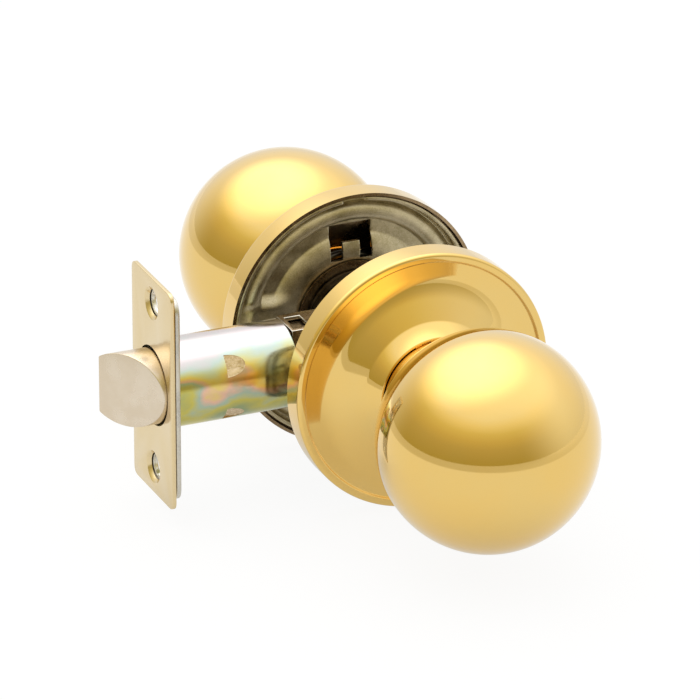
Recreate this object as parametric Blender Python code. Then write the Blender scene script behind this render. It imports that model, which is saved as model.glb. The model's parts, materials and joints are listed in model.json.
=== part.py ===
"""Passage door knob set: two ball knobs on a square spindle, and a tubular spring latch.

World frame: the origin is on the spindle axis at the door's middle plane. The bolt points to -X, the outer
knob to -Y, and +Z is up. Each knob half is modelled along its own +Z, away from the door, and an empty turns
it into place. The latch is modelled in world coordinates.
"""

import math

import bmesh
import bpy
from mathutils import Matrix, Vector

MM = 0.001

# Door and gaps
DOOR_HALF = 17.5 * MM
GAP = 0.35 * MM
BACKSET = 61.5 * MM

# Knob and its neck
BALL_RADIUS = 27.2 * MM
BALL_CENTRE = 61.9 * MM
KNOB_WALL = 1.2 * MM
NECK_RADIUS = 13.9 * MM
NECK_MOUTH = 22.7 * MM
NECK_FILLET = 4.5 * MM

# Rose
ROSE_RADIUS = 33.3 * MM
ROSE_WALL = 0.8 * MM
ROSE_FRONT = 24.0 * MM
ROSE_FACE = 23.4 * MM
ROSE_FACE_EDGE = 30.9 * MM
ROSE_HOLE = 14.3 * MM
BOSS_EDGE = 17.0 * MM
BOSS_RISE = 3.9 * MM
SWEEP_START = 27.8 * MM
SWEEP_BEND = 0.1 / MM
SWEEP_STEEPEST = 0.55

# Mounting plate, as depths along the half's own axis
PLATE_WALL = 1.0 * MM
PLATE_HOLE = 13.6 * MM
RING_EDGE = 21.3 * MM
RING_DEPTH = 20.4 * MM
GROOVE_EDGE = 25.4 * MM
GROOVE_DEPTH = 21.1 * MM
BEAD_CENTRE = (28.0 * MM, 21.0 * MM)
BEAD_RADIUS = 2.2 * MM
PLATE_EDGE = 32.1 * MM
EDGE_DEPTHS = (18.1 * MM, 21.9 * MM)
PAD_DEPTH = 19.2 * MM
PAD_WALL = 1.4 * MM
POCKET_RADIUS = 4.8 * MM
PAD_HALF = 8.0 * MM
PAD_START, PAD_KNEE, PAD_END = 18.0 * MM, 24.0 * MM, 27.8 * MM
WINDOW_HALF = 5.6 * MM
WINDOW_LOW, WINDOW_HIGH = 15.0 * MM, 24.3 * MM
TAB_HALF = 2.25 * MM
TAB_TOP = 19.6 * MM
NOTCH_HALF = 3.0 * MM
NOTCH_DEPTH = 20.2 * MM
POST_X = 20.5 * MM
POST_RADIUS = 3.2 * MM
POST_BORE = 2.4 * MM
POST_LENGTH = 8.0 * MM
POST_NECK = 2.2 * MM
RIVET_RADIUS = 3.6 * MM
RIVET_HEIGHT = 0.9 * MM
RIVET_HOLE = 2.6 * MM
THREAD_END = 14.0 * MM
SCREW_RADIUS = 2.0 * MM
SCREW_END = -5.0 * MM
HEAD_RADIUS = 4.1 * MM
HEAD_HEIGHT = 1.5 * MM

# Shank and spindle
SHANK_RADIUS = 11.0 * MM
SHANK_WALL = 1.6 * MM
SHANK_START, SHANK_WEB, SHANK_END = 15.6 * MM, 22.0 * MM, 36.0 * MM
SHANK_SLOT = 1.6 * MM
CLIP_GROOVE = (17.6 * MM, 19.3 * MM)
CLIP_RADIUS = 12.5 * MM
CLIP_EARS = [(-7.4 * MM, -13.4 * MM), (-5.2 * MM, -13.9 * MM)]
WASHER_RADIUS = 14.6 * MM
WASHER_WALL = 0.5 * MM
SPRING_RADIUS = 15.1 * MM
SPRING_WIRE = 0.55 * MM
SPRING_LOW = 22.3 * MM
SPRING_RISE = 1.3 * MM
SPINDLE_SIDE = 7.6 * MM
SQUARE_HOLE = 8.3 * MM
SPINDLE_HALF = 45.0 * MM

# Latch
PLATE_WIDTH = 25.4 * MM
PLATE_HEIGHT = 57.15 * MM
FACE_WALL = 1.0 * MM
BACK_WALL = 1.2 * MM
PLATE_CORNER = 2.4 * MM
BACK_HALF_Y, BACK_HALF_Z, BACK_CORNER = 12.4 * MM, 26.6 * MM, 4.0 * MM
SCREW_SPACING = 43.6 * MM
COUNTERSINK_RADIUS = 4.8 * MM
SCREW_HOLE = 2.75 * MM
TUBE_RADIUS = 11.0 * MM
TUBE_WALL = 1.0 * MM
TUBE_END = -27.0 * MM
BOLT_RADIUS = 9.5 * MM
BOLT_FLAT = 6.2 * MM
BOLT_OUT = 11.5 * MM
BOLT_REAR = -55.7 * MM
BOLT_NOSE = 0.35 * MM
BOLT_BORE = 5.6 * MM
BORE_START = -61.6 * MM
COIL_RADIUS = 4.5 * MM
COIL_WIRE = 0.45 * MM
GUIDE_X = (-43.5 * MM, -41.2 * MM)
STAKE_HALF = 2.6 * MM
STAKE_DEPTH = 0.6 * MM
BAR_HALF_Y, BAR_HALF_Z, BAR_HEAD = 1.0 * MM, 2.6 * MM, 4.6 * MM
WEB_X = (-40.8 * MM, -38.8 * MM)
RAIL_HALF = 3.5 * MM
RAIL_Z = (7.4 * MM, 8.8 * MM)
TOP_RAIL_END, BOTTOM_RAIL_END = 0.2 * MM, -14.0 * MM
CAM_WINDOW_X = (-9.4 * MM, -2.5 * MM)
CAM_WINDOW_HALF = 1.9 * MM
FRAME_HALF_Y = 5.2 * MM
FRAME_HALF_Z = 10.4 * MM
FRAME_WALL = 1.0 * MM
FRAME_END = 10.2 * MM
FINGER_SLOT_X, FINGER_SLOT_Y = 9.0 * MM, 2.2 * MM
CAM_RADIUS = 7.0 * MM
CAM_HALF = 8.5 * MM
FINGER_TIP = 11.4 * MM
FINGER_ROOT, FINGER_END, FINGER_HALF_Y = 2.2 * MM, 1.1 * MM, 1.5 * MM
FINGER_LEAN = math.radians(32.5)

# Cutters reach past what they cut
CLEAR = 20 * MM

ROUND = 36
MIDDLE_ROUND = 32
SMALL_ROUND = 24
TINY_ROUND = 16


# ---------------------------------------------------------------- materials

def material(name, color, roughness, metallic):
    made = bpy.data.materials.new(name)
    made.use_nodes = True
    shader = made.node_tree.nodes["Principled BSDF"]
    shader.inputs["Base Color"].default_value = (*color, 1.0)
    shader.inputs["Roughness"].default_value = roughness
    shader.inputs["Metallic"].default_value = metallic
    made.diffuse_color = (*color, 1.0)
    return made


# ---------------------------------------------------------------- mesh helpers

def place(name, bm, look, parent=None):
    """Turns a bmesh into a smooth-shaded object with outward faces."""
    bmesh.ops.remove_doubles(bm, verts=bm.verts, dist=1e-7)
    bmesh.ops.recalc_face_normals(bm, faces=bm.faces)
    mesh = bpy.data.meshes.new(name)
    bm.to_mesh(mesh)
    bm.free()
    mesh.shade_smooth()
    mesh.set_sharp_from_angle(angle=math.radians(32))
    mesh.materials.append(look)
    obj = bpy.data.objects.new(name, mesh)
    bpy.context.scene.collection.objects.link(obj)
    obj.parent = parent
    return obj


def circle(radius, count, turn=0.0):
    step = 2 * math.pi / count
    return [(radius * math.cos(turn + i * step), radius * math.sin(turn + i * step)) for i in range(count)]


def arc(centre, radius, start_deg, end_deg, steps):
    """Points of an arc, both ends included, with angles in degrees."""
    angles = [math.radians(start_deg + (end_deg - start_deg) * i / steps) for i in range(steps + 1)]
    return [(centre[0] + radius * math.cos(a), centre[1] + radius * math.sin(a)) for a in angles]


def add_turned(bm, profile, count, closed):
    """Turns (radius, height) points about Z. A point on the axis becomes a pole."""
    rings = []
    for radius, height in profile:
        if radius < 1e-7:
            rings.append([bm.verts.new((0, 0, height))])
        else:
            rings.append([bm.verts.new((x, y, height)) for x, y in circle(radius, count)])
    pairs = list(zip(rings, rings[1:]))
    if closed:
        pairs.append((rings[-1], rings[0]))
    for low, high in pairs:
        for i in range(count):
            j = (i + 1) % count
            corners = [low[i % len(low)], low[j % len(low)], high[j % len(high)], high[i % len(high)]]
            bm.faces.new(list(dict.fromkeys(corners)))


def turned(name, profile, look, parent=None, count=ROUND, along="Z"):
    """A turned solid. A profile that starts and ends on the axis is closed by it, any other by itself."""
    bm = bmesh.new()
    add_turned(bm, profile, count, closed=not (profile[0][0] == 0 and profile[-1][0] == 0))
    if along == "X":
        bm.transform(Matrix.Rotation(math.pi / 2, 4, "Y"))
    elif along == "Y":
        bm.transform(Matrix.Rotation(-math.pi / 2, 4, "X"))
    return place(name, bm, look, parent)


def slab(name, outline, low, high, look, parent=None, along="Z"):
    """A flat outline made solid between two heights. Along X the outline is (y, z), along Y it is (x, z)."""
    bm = bmesh.new()
    spots = {"Z": lambda a, b, h: (a, b, h), "X": lambda a, b, h: (h, a, b), "Y": lambda a, b, h: (a, h, b)}
    spot = spots[along]
    bottom = [bm.verts.new(spot(a, b, low)) for a, b in outline]
    top = [bm.verts.new(spot(a, b, high)) for a, b in outline]
    bm.faces.new(bottom)
    bm.faces.new(top)
    for i in range(len(outline)):
        j = (i + 1) % len(outline)
        bm.faces.new((bottom[i], bottom[j], top[j], top[i]))
    return place(name, bm, look, parent)


def box(name, x, y, z, look, parent=None):
    return slab(name, [(x[0], y[0]), (x[1], y[0]), (x[1], y[1]), (x[0], y[1])], z[0], z[1], look, parent)


def round_box(half_a, half_b, radius, steps=4):
    """The outline of a rectangle with round corners."""
    corners = [(1, 1, 0), (-1, 1, 90), (-1, -1, 180), (1, -1, 270)]
    outline = []
    for sign_a, sign_b, start in corners:
        centre = (sign_a * (half_a - radius), sign_b * (half_b - radius))
        outline += arc(centre, radius, start, start + 90, steps)
    return outline


def add_tube(bm, path, radius, count=6):
    """A round wire along a list of points, closed at both ends."""
    rings = []
    side = Vector((0.123, 0.456, 0.789))
    for i, spot in enumerate(path):
        ahead = (path[min(i + 1, len(path) - 1)] - path[max(i - 1, 0)]).normalized()
        side = (side - side.dot(ahead) * ahead).normalized()
        across = ahead.cross(side)
        rings.append([bm.verts.new(spot + x * side + y * across) for x, y in circle(radius, count)])
    for low, high in zip(rings, rings[1:]):
        for i in range(count):
            j = (i + 1) % count
            bm.faces.new((low[i], low[j], high[j], high[i]))
    bm.faces.new(rings[0])
    bm.faces.new(rings[-1])


def boolean(obj, other, operation):
    """Cuts or joins another object, which stays only as a hidden helper."""
    other.hide_render = True
    other.display_type = "WIRE"
    modifier = obj.modifiers.new(operation.title(), "BOOLEAN")
    modifier.operation = operation
    modifier.solver = "EXACT"
    modifier.object = other
    return obj


def cut(obj, other):
    return boolean(obj, other, "DIFFERENCE")


def join(obj, other):
    return boolean(obj, other, "UNION")


# ---------------------------------------------------------------- one knob half

def knob_profile(inset):
    """Neck, fillet and ball, from the neck's mouth to the pole, moved inwards by inset."""
    reach = BALL_RADIUS + NECK_FILLET
    fillet_r = NECK_RADIUS + NECK_FILLET
    fillet_z = BALL_CENTRE - math.sqrt(reach ** 2 - fillet_r ** 2)
    meet = math.degrees(math.atan2(BALL_CENTRE - fillet_z, -fillet_r))
    start = math.degrees(math.atan2(fillet_z - BALL_CENTRE, fillet_r))
    points = [(NECK_RADIUS - inset, NECK_MOUTH)]
    points += arc((fillet_r, fillet_z), NECK_FILLET + inset, 180, meet, 4)
    points += arc((0, BALL_CENTRE), BALL_RADIUS - inset, start, 90, 10 if inset == 0 else 6)[1:]
    points[-1] = (0, points[-1][1])
    return points


def make_knob(side, half, looks):
    outside = knob_profile(0)
    inside = knob_profile(KNOB_WALL)
    return turned(side + "_knob", outside[::-1] + inside, looks["polished_brass"], half)


def make_shank(side, half, looks):
    """Sleeve in the knob's neck: an open, slotted end by the door and a web with the square hole."""
    look = looks["bronze"]
    bore, body = SHANK_RADIUS - SHANK_WALL, NECK_RADIUS - KNOB_WALL - GAP
    groove, (low, high) = SHANK_RADIUS - 0.5 * MM, CLIP_GROOVE
    profile = [
        (0, SHANK_WEB), (bore, SHANK_WEB), (bore, SHANK_START), (SHANK_RADIUS, SHANK_START),
        (SHANK_RADIUS, low), (groove, low), (groove, high), (SHANK_RADIUS, high), (SHANK_RADIUS, NECK_MOUTH),
        (body, NECK_MOUTH), (body, SHANK_END), (0, SHANK_END),
    ]
    shank = turned(side + "_shank", profile, look, half, MIDDLE_ROUND)
    hole = SQUARE_HOLE / 2
    depth = (SHANK_START, SHANK_END + MM)
    square = box(side + "_shank_square", (-hole, hole), (-hole, hole), depth, look, half)
    cut(shank, square)
    depth = (SHANK_START - MM, SHANK_START + SHANK_SLOT)
    slot = box(side + "_shank_slot", (-CLEAR, CLEAR), (-SHANK_SLOT, SHANK_SLOT), depth, look, half)
    cut(shank, slot)


def swept_face(steps):
    """The rose's face: flat, then bending up to its steepest slope, from its edge in to the boss."""
    step = (SWEEP_START - BOSS_EDGE) / steps
    points = [(ROSE_FACE_EDGE, ROSE_FACE), (SWEEP_START, ROSE_FACE)]
    for i in range(steps):
        radius, height = points[-1]
        slope = min(SWEEP_STEEPEST, SWEEP_BEND * step * (i + 0.5))
        points.append((radius - step, height + slope * step))
    return points


def make_rose(side, half, looks):
    """Deep rim, raised lip and a flat face that sweeps up to a boss round the neck."""
    wall, face = ROSE_WALL, swept_face(6)
    boss = face[-1][1] + BOSS_RISE
    outside = [
        (ROSE_RADIUS, DOOR_HALF), (ROSE_RADIUS, ROSE_FRONT - 1.1 * MM),
        (ROSE_RADIUS - 0.3 * MM, ROSE_FRONT - 0.4 * MM), (ROSE_RADIUS - 0.8 * MM, ROSE_FRONT),
        (ROSE_FACE_EDGE + 0.3 * MM, ROSE_FRONT), *face,
        (ROSE_HOLE + 0.5 * MM, boss - 0.1 * MM), (ROSE_HOLE, boss),
    ]
    inside = [
        (ROSE_HOLE, boss - 1.6 * wall), (BOSS_EDGE - 0.7 * MM, face[-1][1] - wall),
        *[(radius, height - wall) for radius, height in face[-2:0:-1]],
        (ROSE_RADIUS - wall, ROSE_FACE - wall), (ROSE_RADIUS - wall, DOOR_HALF),
    ]
    return turned(side + "_rose", outside + inside, looks["polished_brass"], half)


def make_plate(side, half, looks, hole_radius):
    """Stamped plate: flat ring, groove, round bead and a turned-up edge, with the spring's window and tab."""
    look, wall = looks["zinc_bronze"], PLATE_WALL
    rim_inner, (rim_low, rim_high) = PLATE_EDGE - wall, EDGE_DEPTHS
    face = [
        (PLATE_HOLE, RING_DEPTH), (RING_EDGE, RING_DEPTH), (RING_EDGE + 0.9 * MM, GROOVE_DEPTH),
        (GROOVE_EDGE, GROOVE_DEPTH),
    ]
    face += arc(BEAD_CENTRE, BEAD_RADIUS, 190, 350, 6)
    face += [(rim_inner, rim_high - wall), (rim_inner, rim_low)]
    back = [(PLATE_EDGE, rim_low), (PLATE_EDGE, rim_high), (29.8 * MM, rim_high)]
    back += arc(BEAD_CENTRE, BEAD_RADIUS - wall, 350, 190, 4)
    back += [
        (26.2 * MM, GROOVE_DEPTH + wall), (RING_EDGE + 0.5 * MM, GROOVE_DEPTH + wall),
        (RING_EDGE - 0.4 * MM, RING_DEPTH + wall), (PLATE_HOLE, RING_DEPTH + wall),
    ]
    plate = turned(side + "_plate", face + back, look, half, MIDDLE_ROUND)
    pad_high, behind = PAD_DEPTH + PAD_WALL, RING_DEPTH + CLEAR
    upper = [(PAD_START, PAD_HALF), (PAD_KNEE, PAD_HALF), (PAD_END - 0.8 * MM, 0.7 * PAD_HALF)]
    lower = [(x, -y) for x, y in upper]
    for label, sign in (("left", -1), ("right", 1)):
        pad = [(sign * x, y) for x, y in [*lower, (PAD_END, 0), *upper[::-1]]]
        join(plate, slab(f"{side}_pad_{label}", pad, PAD_DEPTH, pad_high, look, half))
        pocket = [(x + sign * POST_X, y) for x, y in circle(POCKET_RADIUS, TINY_ROUND)]
        cut(plate, slab(f"{side}_pocket_{label}", pocket, pad_high, behind, look, half))
        hole = [(x + sign * POST_X, y) for x, y in circle(hole_radius, TINY_ROUND)]
        cut(plate, slab(f"{side}_post_hole_{label}", hole, DOOR_HALF, behind, look, half))
    window = [
        (-WINDOW_HALF, WINDOW_LOW), (-TAB_HALF, WINDOW_LOW), (-TAB_HALF, TAB_TOP), (TAB_HALF, TAB_TOP),
        (TAB_HALF, WINDOW_LOW), (WINDOW_HALF, WINDOW_LOW), (WINDOW_HALF, WINDOW_HIGH),
        (-WINDOW_HALF, WINDOW_HIGH),
    ]
    cut(plate, slab(side + "_window", window, DOOR_HALF, behind, look, half))
    for number, angle in enumerate((90, 210, 330)):
        notch = box(f"{side}_notch_{number}", (rim_inner - 0.2 * MM, rim_inner + CLEAR),
                    (-NOTCH_HALF, NOTCH_HALF), (DOOR_HALF - MM, NOTCH_DEPTH), look, half)
        notch.rotation_euler = (0, 0, math.radians(angle))
        cut(plate, notch)


def make_torsion_spring(side, half, looks):
    """Return spring round the neck: its leg turns outwards behind the plate's tab."""
    turns, steps = 1.5, 36
    path = []
    for i in range(steps + 1):
        angle = math.pi / 2 + 2 * math.pi * turns * i / steps
        height = SPRING_LOW + SPRING_RISE * turns * i / steps
        path.append(Vector((SPRING_RADIUS * math.cos(angle), SPRING_RADIUS * math.sin(angle), height)))
    path.insert(0, path[0] + Vector((0.6 * MM, 3.2 * MM, 0)))
    bm = bmesh.new()
    add_tube(bm, path, SPRING_WIRE)
    return place(side + "_spring", bm, looks["spring_steel"], half)


def make_washer(side, half, looks):
    inner, high = SHANK_RADIUS + GAP, RING_DEPTH - GAP
    low = high - WASHER_WALL
    profile = [(inner, low), (WASHER_RADIUS, low), (WASHER_RADIUS, high), (inner, high)]
    return turned(side + "_washer", profile, looks["bronze"], half, MIDDLE_ROUND)


def make_clip(side, half, looks):
    """Retaining ring in the shank's groove, with a gap and an ear on each end."""
    inner = SHANK_RADIUS - 0.2 * MM
    low, high = CLIP_GROOVE[0] + GAP, CLIP_GROOVE[1] - GAP
    outline = arc((0, 0), CLIP_RADIUS, -60, 240, 24) + CLIP_EARS
    outline += arc((0, 0), inner, 240, -60, 24) + [(-x, y) for x, y in CLIP_EARS[::-1]]
    return slab(side + "_clip", outline, low, high, looks["spring_steel"], half)


def make_half(side, turn, looks):
    half = bpy.data.objects.new(side + "_half", None)
    bpy.context.scene.collection.objects.link(half)
    half.rotation_euler = (math.pi / 2, 0, turn)
    knob_axis = bpy.data.objects.new(side + "_knob_axis", None)
    bpy.context.scene.collection.objects.link(knob_axis)
    knob_axis.parent = half
    make_rose(side, half, looks)
    make_plate(side, half, looks, POST_BORE if side == "inner" else RIVET_HOLE)
    make_torsion_spring(side, half, looks)
    make_washer(side, half, looks)
    make_knob(side, knob_axis, looks)
    make_shank(side, knob_axis, looks)
    make_clip(side, knob_axis, looks)
    return half


# ---------------------------------------------------------------- fasteners through the door

def make_post(name, x, half, looks):
    """Threaded post: a shouldered tube whose rivet end passes the outer plate."""
    bore, shoulder, rivet = SCREW_RADIUS + GAP, PAD_DEPTH - GAP, PAD_DEPTH + PAD_WALL + GAP
    profile = [
        (0, THREAD_END), (bore, THREAD_END), (bore, -POST_LENGTH), (POST_RADIUS, -POST_LENGTH),
        (POST_RADIUS, shoulder), (POST_NECK, shoulder), (POST_NECK, rivet), (RIVET_RADIUS, rivet),
        (RIVET_RADIUS - 0.3 * MM, rivet + RIVET_HEIGHT), (0, rivet + RIVET_HEIGHT),
    ]
    post = turned(name, profile, looks["zinc"], half, SMALL_ROUND)
    post.location = (x, 0, 0)


def make_screw(name, x, half, looks):
    """Machine screw with a low round head and a cross recess, driven from the inner half."""
    head, chamfer = PAD_DEPTH + PAD_WALL + GAP, 0.5 * MM
    profile = [
        (0, SCREW_END), (SCREW_RADIUS - chamfer, SCREW_END), (SCREW_RADIUS, SCREW_END + chamfer),
        (SCREW_RADIUS, head), (HEAD_RADIUS, head), (HEAD_RADIUS, head + 0.33 * HEAD_HEIGHT),
        (0.8 * HEAD_RADIUS, head + 0.73 * HEAD_HEIGHT), (0.44 * HEAD_RADIUS, head + 0.93 * HEAD_HEIGHT),
        (0, head + HEAD_HEIGHT),
    ]
    screw = turned(name, profile, looks["zinc"], half, TINY_ROUND)
    screw.location = (x, 0, 0)
    long, thin = 2.4 * MM, 0.45 * MM
    for number, (a, b) in enumerate(((long, thin), (thin, long))):
        recess = box(f"{name}_recess_{number}", (-a, a), (-b, b), (head + 0.4 * HEAD_HEIGHT, head + CLEAR),
                     looks["zinc"], half)
        recess.location = (x, 0, 0)
        cut(screw, recess)


def make_spindle(looks):
    side = SPINDLE_SIDE / 2
    outline = round_box(side, side, 0.7 * MM, 2)
    return slab("spindle", outline, -SPINDLE_HALF, SPINDLE_HALF, looks["zinc"], along="Y")


# ---------------------------------------------------------------- latch

def bolt_outline(radius, flat, steps=28):
    """A circle with its +Y side cut off flat, as (y, z) points."""
    edge = math.degrees(math.acos(flat / radius))
    return arc((0, 0), radius, edge, 360 - edge, steps)


def make_latch_plates(looks):
    """Face plate with countersunk holes and the bolt's opening, and a thinner plate behind it."""
    look, front = looks["zinc"], -BACKSET
    face_back = front + FACE_WALL
    low, high = front - 2 * MM, front + CLEAR
    outline = round_box(PLATE_WIDTH / 2, PLATE_HEIGHT / 2, PLATE_CORNER)
    face = slab("latch_faceplate", outline, front, face_back, looks["satin_brass"], along="X")
    back_front = face_back + 0.25 * MM
    back = slab("latch_backplate", round_box(BACK_HALF_Y, BACK_HALF_Z, BACK_CORNER), back_front,
                back_front + BACK_WALL, look, along="X")
    opening = bolt_outline(BOLT_RADIUS + 2 * GAP, BOLT_FLAT + 2 * GAP)
    cut(face, slab("bolt_opening", opening, low, high, look, along="X"))
    cut(back, slab("tube_opening", circle(TUBE_RADIUS + GAP, MIDDLE_ROUND), low, high, look, along="X"))
    cone_start, cone_end = front - 0.5 * MM, face_back + 0.4 * MM
    cone_profile = [(0, cone_start), (COUNTERSINK_RADIUS, cone_start), (3.1 * MM, cone_end), (0, cone_end)]
    for label, sign in (("top", 1), ("bottom", -1)):
        spot = Vector((0, 0, sign * SCREW_SPACING / 2))
        cone = turned(f"countersink_{label}", cone_profile, look, count=SMALL_ROUND, along="X")
        cone.location = spot
        cut(face, cone)
        hole = slab(f"back_hole_{label}", circle(SCREW_HOLE, SMALL_ROUND), low, high, look, along="X")
        hole.location = spot
        cut(back, hole)


def make_latch_tube(looks):
    """Round housing with two stakes pressed into its near side, over the guide."""
    start, inner, chamfer = -BACKSET + FACE_WALL + GAP, TUBE_RADIUS - TUBE_WALL, 0.4 * MM
    profile = [
        (inner, start), (TUBE_RADIUS, start), (TUBE_RADIUS, TUBE_END - chamfer),
        (TUBE_RADIUS - chamfer, TUBE_END), (inner, TUBE_END),
    ]
    tube = turned("latch_tube", profile, looks["yellow_zinc"], along="X")
    outline, floor = arc((0, 0), STAKE_HALF, -90, 90, 10), TUBE_RADIUS - STAKE_DEPTH
    for number, (angle_y, angle_z) in enumerate(((-0.83, 0.55), (-0.74, -0.67))):
        pocket = slab(f"stake_{number}", outline, floor, floor + CLEAR, looks["zinc"])
        pocket.rotation_euler = (math.atan2(-angle_y, angle_z), 0, 0)
        pocket.location = (sum(GUIDE_X) / 2 - STAKE_HALF / 2, 0, 0)
        cut(tube, pocket)


def make_bolt(looks):
    """Round bolt with a flat side, a bevel across its nose and a blind bore for the spring."""
    look, tip, side = looks["satin_nickel"], -BACKSET - BOLT_OUT, BOLT_FLAT - BOLT_NOSE
    bolt = slab("latch_bolt", bolt_outline(BOLT_RADIUS, BOLT_FLAT), tip, BOLT_REAR, look, along="X")
    bevel_end = -BACKSET - 0.7 * MM
    wedge = [
        (tip - CLEAR, side), (tip, side), (bevel_end, -BOLT_RADIUS), (bevel_end, -BOLT_RADIUS - CLEAR),
        (tip - CLEAR, -BOLT_RADIUS - CLEAR),
    ]
    cut(bolt, slab("bolt_bevel", wedge, -CLEAR, CLEAR, look))
    bore_end = BORE_START + CLEAR
    bore = [(0, BORE_START), (BOLT_BORE, BORE_START), (BOLT_BORE, bore_end), (0, bore_end)]
    cut(bolt, turned("bolt_bore", bore, look, count=SMALL_ROUND, along="X"))


def make_guide(looks):
    """Disc across the tube that the drawbar slides through."""
    look, (low, high) = looks["zinc"], GUIDE_X
    outer = TUBE_RADIUS - TUBE_WALL - GAP
    guide = turned("latch_guide", [(0, low), (outer, low), (outer, high), (0, high)], look,
                   count=MIDDLE_ROUND, along="X")
    half_y, half_z = BAR_HALF_Y + 0.5 * MM, BAR_HALF_Z + 0.5 * MM
    cut(guide, box("guide_slot", (low - MM, high + MM), (-half_y, half_y), (-half_z, half_z), look))


def make_latch_spring(looks):
    """Compression spring between the bolt's bore and the guide."""
    turns, steps = 5.0, 60
    start, end = BORE_START + GAP + COIL_WIRE, GUIDE_X[0] - GAP - COIL_WIRE
    path = []
    for i in range(steps + 1):
        angle, x = 2 * math.pi * turns * i / steps, start + (end - start) * i / steps
        path.append(Vector((x, COIL_RADIUS * math.cos(angle), COIL_RADIUS * math.sin(angle))))
    bm = bmesh.new()
    add_tube(bm, path, COIL_WIRE)
    return place("latch_spring", bm, looks["spring_steel"])


def make_drawbar(looks):
    """Flat bar from the bolt, with a cross head behind the retractor's web."""
    look, web_rear = looks["zinc"], WEB_X[1]
    across, start = (-BAR_HALF_Y, BAR_HALF_Y), BORE_START + 0.4 * MM
    bar = box("latch_drawbar", (start, web_rear + 2.0 * MM), across, (-BAR_HALF_Z, BAR_HALF_Z), look)
    join(bar, box("drawbar_head", (web_rear + GAP, web_rear + 2.2 * MM), across, (-BAR_HEAD, BAR_HEAD), look))


def make_retractor(looks):
    """Web round the drawbar, a long top rail with the cam's window and a short bottom rail."""
    look, (low, high), across = looks["bronze"], RAIL_Z, (-RAIL_HALF, RAIL_HALF)
    rail_start = sum(WEB_X) / 2
    web = box("latch_retractor", WEB_X, across, (-high, high), look)
    join(web, box("top_rail", (rail_start, TOP_RAIL_END), across, (low, high), look))
    join(web, box("bottom_rail", (rail_start, BOTTOM_RAIL_END), across, (-high, -low), look))
    half_y, half_z = BAR_HALF_Y + 0.4 * MM, BAR_HALF_Z + 0.4 * MM
    cut(web, box("bar_hole", (WEB_X[0] - MM, WEB_X[1] + MM), (-half_y, half_y), (-half_z, half_z), look))
    across = (-CAM_WINDOW_HALF, CAM_WINDOW_HALF)
    cut(web, box("cam_window", CAM_WINDOW_X, across, (low - MM, high + MM), look))


def make_frame(looks):
    """Sheet-metal tail: a rectangular tube with holes for the cam, its finger and one post."""
    look, y, z = looks["bronze"], FRAME_HALF_Y, FRAME_HALF_Z
    start, in_y, in_z = TUBE_END + GAP, FRAME_HALF_Y - FRAME_WALL, FRAME_HALF_Z - FRAME_WALL
    frame = box("latch_frame", (start, FRAME_END), (-y, y), (-z, z), look)
    cut(frame, box("frame_hollow", (start - MM, FRAME_END + MM), (-in_y, in_y), (-in_z, in_z), look))
    cut(frame, slab("frame_cam_hole", circle(CAM_RADIUS + GAP, MIDDLE_ROUND), -CLEAR, CLEAR, look, along="Y"))
    slot = [(a - POST_X, b) for a, b in circle(POST_RADIUS + 0.6 * MM, TINY_ROUND)]
    cut(frame, slab("frame_post_hole", slot, -CLEAR, CLEAR, look, along="Y"))
    cut(frame, box("frame_finger_slot", (-FINGER_SLOT_X, FINGER_SLOT_X), (-FINGER_SLOT_Y, FINGER_SLOT_Y),
                   (0, CLEAR), look))


def make_cam(looks):
    """Hub with the square hole and one finger that reaches into the retractor's window."""
    look = looks["zinc"]
    hub = [(0, -CAM_HALF), (CAM_RADIUS, -CAM_HALF), (CAM_RADIUS, CAM_HALF), (0, CAM_HALF)]
    cam = turned("latch_cam", hub, look, count=MIDDLE_ROUND, along="Y")
    base = CAM_RADIUS - 3.0 * MM
    outline = [(-FINGER_ROOT, base), (FINGER_ROOT, base), (FINGER_END, FINGER_TIP), (-FINGER_END, FINGER_TIP)]
    finger = slab("cam_finger", outline, -FINGER_HALF_Y, FINGER_HALF_Y, look, along="Y")
    finger.rotation_euler = (0, -FINGER_LEAN, 0)
    join(cam, finger)
    hole = SQUARE_HOLE / 2
    cut(cam, box("cam_square", (-hole, hole), (-CLEAR, CLEAR), (-hole, hole), look))


# ---------------------------------------------------------------- the whole set

def main():
    for obj in list(bpy.data.objects):
        bpy.data.objects.remove(obj, do_unlink=True)
    looks = {
        "polished_brass": material("polished_brass", (0.86, 0.62, 0.26), 0.08, 1.0),
        "satin_brass": material("satin_brass", (0.80, 0.70, 0.50), 0.35, 1.0),
        "satin_nickel": material("satin_nickel", (0.78, 0.72, 0.64), 0.35, 1.0),
        "yellow_zinc": material("yellow_zinc", (0.78, 0.74, 0.50), 0.28, 1.0),
        "zinc_bronze": material("zinc_bronze", (0.30, 0.28, 0.18), 0.42, 1.0),
        "bronze": material("bronze", (0.26, 0.18, 0.10), 0.35, 1.0),
        "zinc": material("zinc", (0.62, 0.60, 0.55), 0.35, 1.0),
        "spring_steel": material("spring_steel", (0.45, 0.43, 0.40), 0.30, 1.0),
    }
    outer = make_half("outer", 0, looks)
    inner = make_half("inner", math.pi, looks)
    for label, sign in (("left", -1), ("right", 1)):
        make_post(f"post_{label}", sign * POST_X, outer, looks)
        make_screw(f"screw_{label}", -sign * POST_X, inner, looks)
    make_spindle(looks)
    make_latch_plates(looks)
    make_latch_tube(looks)
    make_bolt(looks)
    make_guide(looks)
    make_latch_spring(looks)
    make_drawbar(looks)
    make_retractor(looks)
    make_frame(looks)
    make_cam(looks)


main()
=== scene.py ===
"""Looks of the passage door knob set: fine surfaces, finishes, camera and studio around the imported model."""

import json
import math

import bmesh
import bpy
from mathutils import Matrix, Vector


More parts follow.
